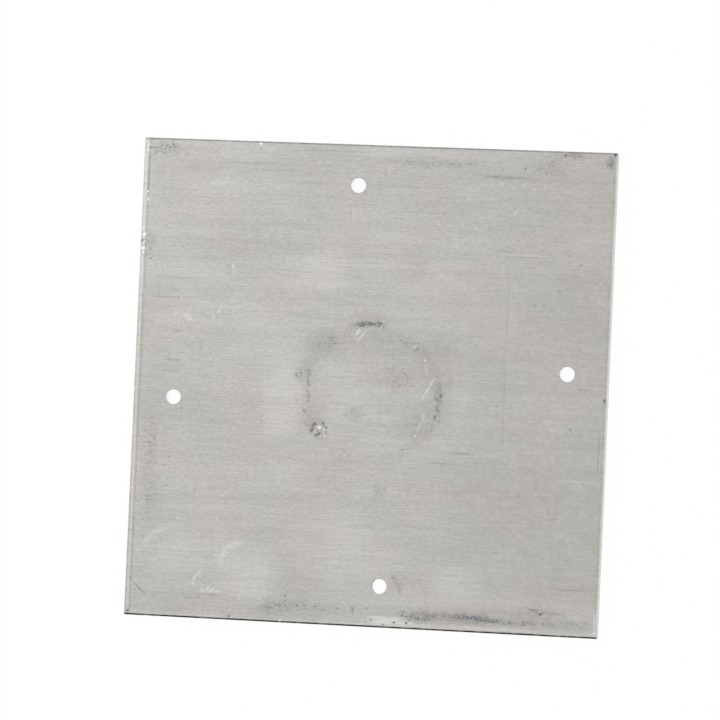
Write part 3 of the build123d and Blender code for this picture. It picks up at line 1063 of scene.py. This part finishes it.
# %% Inputs of the relief tree
relief = bpy.data.node_groups.new("sheared_sheet_relief", "GeometryNodeTree")
relief.interface.new_socket("Geometry", in_out="INPUT", socket_type="NodeSocketGeometry")
relief_sizes = {
    "Wave Length": 45 * MM, "Wave Depth": 0.02 * MM, "Drag Line Spacing": 1.1 * MM,
    "Drag Line Depth": 0.012 * MM, "Grain Size": 0.9 * MM, "Grain Depth": 0.05 * MM,
}
for name in relief_sizes:
    relief.interface.new_socket(name, in_out="INPUT", socket_type="NodeSocketFloat")
relief.interface.new_socket("Geometry", in_out="OUTPUT", socket_type="NodeSocketGeometry")
given = relief.nodes.new("NodeGroupInput").outputs
print("relief has", len(relief_sizes), "named sizes")

# %% [markdown]
# ## Three heights and one move
# Each kind of relief is a noise of one input's size times another input's depth. The drag lines'
# noise is flattened along Z, which draws it out down the wall. The wave moves the face down, and
# the lines and the grain move the walls in, so the plate stays inside its box.

# %% Heights and the move
VECTOR, ATTRIBUTE = "ShaderNodeVectorMath", "GeometryNodeInputNamedAttribute"
position = add_node(relief, "GeometryNodeInputPosition")
relief_heights = {}
for size, depth, flatten in [
    ("Wave Length", "Wave Depth", (1, 1, 1)),
    ("Drag Line Spacing", "Drag Line Depth", (1, 1, 0.05)),
    ("Grain Size", "Grain Depth", (1, 1, 1)),
]:
    flattened = add_node(relief, VECTOR, {0: position, 1: flatten}, operation="MULTIPLY")
    scale = add_node(relief, MATHS, {0: 1.0, 1: given[size]}, operation="DIVIDE")
    noise = add_node(relief, NOISE, {"Vector": flattened, "Scale": scale, "Detail": 1.0}, "Fac")
    relief_heights[depth] = add_node(
        relief, MATHS, {0: noise, 1: given[depth]}, operation="MULTIPLY"
    )

above = add_node(relief, "ShaderNodeSeparateXYZ", {0: position}, "Z")
face_from, face_to = (thickness - fade_end) * MM, (thickness - fade_start) * MM
on_top = add_node(relief, RANGE, {0: above, 1: face_from, 2: face_to})
wave = add_node(
    relief, MATHS, {0: relief_heights["Wave Depth"], 1: on_top}, operation="MULTIPLY"
)
broken = add_node(relief, ATTRIBUTE, {"Name": "broken_zone"}, data_type="FLOAT")
cut_depth = add_node(
    relief,
    MATHS,
    {0: relief_heights["Grain Depth"], 1: broken, 2: relief_heights["Drag Line Depth"]},
    operation="MULTIPLY_ADD",
)
way_in = add_node(relief, ATTRIBUTE, {"Name": "wall_inward"}, data_type="FLOAT_VECTOR")
inward_move = add_node(relief, VECTOR, {0: way_in, "Scale": cut_depth}, operation="SCALE")
down_move = add_node(relief, VECTOR, {0: (0, 0, -1), "Scale": wave}, operation="SCALE")
move = add_node(relief, VECTOR, {0: inward_move, 1: down_move}, operation="ADD")
finished = add_node(
    relief, "GeometryNodeSetPosition", {"Geometry": given["Geometry"], "Offset": move}
)
print(len(relief_heights), "kinds of relief")

# %% [markdown]
# ## Materials by finish
# The tree ends by giving each face its material, picked by the finish number that the shell was
# built with. Realize Instances comes before that, so the result is always real mesh.

# %% End of the relief tree
finished = add_node(relief, "GeometryNodeRealizeInstances", {"Geometry": finished})
finish = add_node(relief, ATTRIBUTE, {"Name": "finish"}, data_type="INT")
for material, number in [(face_metal, FACE), (cut_metal, CUT), (bore_metal, BORE)]:
    chosen = add_node(
        relief, "FunctionNodeCompare", {2: finish, 3: number}, data_type="INT", operation="EQUAL"
    )
    finished = add_node(
        relief,
        "GeometryNodeSetMaterial",
        {"Geometry": finished, "Selection": chosen, "Material": material},
    )
add_node(relief, "NodeGroupOutput", {"Geometry": finished})
print("relief tree has", len(relief.nodes), "nodes")

# %% [markdown]
# ## A plain mesh at last
# The modifier is evaluated once, its result is kept as a plain mesh, and the modifier goes,
# because an exported part can't carry a node tree. Inputs are set by each socket's identifier,
# which stays the same when an input is renamed. Edges over 40 degrees stay sharp, so the hole rims
# and the bottom of the walls are crisp while the rolls shade smoothly.

# %% Turn the result into a plain mesh
def add_object(name, data):
    """A new object in the scene."""
    made = bpy.data.objects.new(name, data)
    bpy.context.scene.collection.objects.link(made)
    return made


dressed = add_object("cover_plate_dressed", plate_mesh)
modifier = dressed.modifiers.new("relief", "NODES")
modifier.node_group = relief
for socket in relief.interface.items_tree:
    if socket.name in relief_sizes:
        modifier[socket.identifier] = relief_sizes[socket.name]
evaluated = dressed.evaluated_get(bpy.context.evaluated_depsgraph_get())
plain_mesh = bpy.data.meshes.new_from_object(evaluated)
dressed.modifiers.remove(modifier)
dressed.data = plain_mesh
sharp_from = math.radians(40)
plain_mesh.shade_smooth()
plain_mesh.set_sharp_from_angle(angle=sharp_from)
triangles = sum(len(p.vertices) - 2 for p in plain_mesh.polygons)
print("dressed plate has", triangles, "triangles and", [m.name for m in plain_mesh.materials if m])

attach(dressed, "root")
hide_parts("cover_plate")

# %% [markdown]
# ## Floor
# The plate lies on plain white. A floor lit to pure white would need so much light that the metal
# would lose its tones, so the floor gives most of its white as its own glow, seen only by the
# camera, in reflections and through glass, and the rest as lit white paint, which keeps a faint
# shadow.

# %% White floor
floor_paint, tree = new_material("white_studio_floor")
rays = tree.nodes.new("ShaderNodeLightPath").outputs
seen = add_node(
    tree, MATHS, {0: rays["Is Camera Ray"], 1: rays["Is Glossy Ray"]}, operation="MAXIMUM"
)
seen = add_node(tree, MATHS, {0: seen, 1: rays["Is Transmission Ray"]}, operation="MAXIMUM")
glow_part = 0.95
glow_share = add_node(tree, MATHS, {0: seen, 1: glow_part}, operation="MULTIPLY")
paint = add_node(tree, "ShaderNodeBsdfDiffuse", {"Color": colour("#F6F6F6")})
glow = add_node(tree, "ShaderNodeEmission", {"Color": colour("#FFFFFF"), "Strength": 1.0})
both = add_node(tree, "ShaderNodeMixShader", {0: glow_share, 1: paint, 2: glow})
add_node(tree, "ShaderNodeOutputMaterial", {"Surface": both})

# a hair below the plate, so that the two never share a plane
floor_reach, floor_gap = 12.0, 0.02 * MM
floor_corners = [
    (x * floor_reach, y * floor_reach, plate_low.z - floor_gap)
    for x, y in [(-1, -1), (1, -1), (1, 1), (-1, 1)]
]
floor_mesh = bpy.data.meshes.new("floor")
floor_mesh.from_pydata(floor_corners, [], [(0, 1, 2, 3)])
floor_mesh.materials.append(floor_paint)
floor = add_object("floor", floor_mesh)
floor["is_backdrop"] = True
print("floor is", 2 * floor_reach, "m across")

# %% [markdown]
# ## Light
# Bare metal shows what it reflects, so the light is a soft, even surround, with one large soft
# lamp behind the left corner. That lamp lifts the wide roll on the left edge and lets the front
# roll fall dark, as daylight from a window would. A weaker lamp on the other side keeps the right
# wall bright.

# %% Surround and lamps
world = bpy.data.worlds.new("soft_surround")
world.use_nodes = True
surround = world.node_tree.nodes["Background"].inputs
surround["Color"].default_value = colour("#FFFFFF")
surround["Strength"].default_value = 0.94
bpy.context.scene.world = world


def soft_lamp(name, place, width, power):
    """A square lamp that faces the plate, with place and width in metres."""
    light = bpy.data.lights.new(name, "AREA")
    light.size, light.energy = width, power
    lamp = add_object(name, light)
    lamp.location = place
    lamp.rotation_euler = (-Vector(place)).to_track_quat("-Z", "Y").to_euler()
    print(name, power, "W")


soft_lamp("window_left", (-0.48, 0.22, 0.42), 0.36, 0.86)
soft_lamp("fill_right", (1.2, 0.4, 1.3), 0.9, 1.2)

# %% [markdown]
# ## Camera
# A long lens from almost straight above, leaning 11 degrees to the right, so the plate looks
# nearly like a plan with its right wall just in view. Its place is given in plate sides from the
# middle of the face, so it would frame a plate of any size alike.

# %% Camera
camera_data = bpy.data.cameras.new("camera")
camera_data.lens, camera_data.sensor_width = 250.0, 36.0
camera = add_object("camera", camera_data)
camera.rotation_mode = "ZYX"
camera.rotation_euler = [math.radians(angle) for angle in (0.752, 11.063, 2.418)]
plate_sides_away = Vector((1.9707, -0.0812, 10.1853))
camera.location = Vector((0, 0, plate_high.z)) + plate_sides_away * 2 * half_side * MM
bpy.context.scene.camera = camera
bpy.context.scene.view_settings.view_transform = "Standard"
print("camera is", round(camera.location.length, 3), "m away")

# %% [markdown]
# ## Sizes
# Dressing a part must not change its size. The box of the solid was kept at the start, and the box
# of the dressed plate is set beside it; only the dressed box is printed.

# %% Set both sizes side by side and print the dressed one
dressed_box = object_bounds()
boxes = {"cad": cad_box, "dressed": dressed_box}
{name: [list(corner) for corner in box] for name, box in boxes.items()}
print("dressed box", [[round(v / MM, 3) for v in corner] for corner in dressed_box])
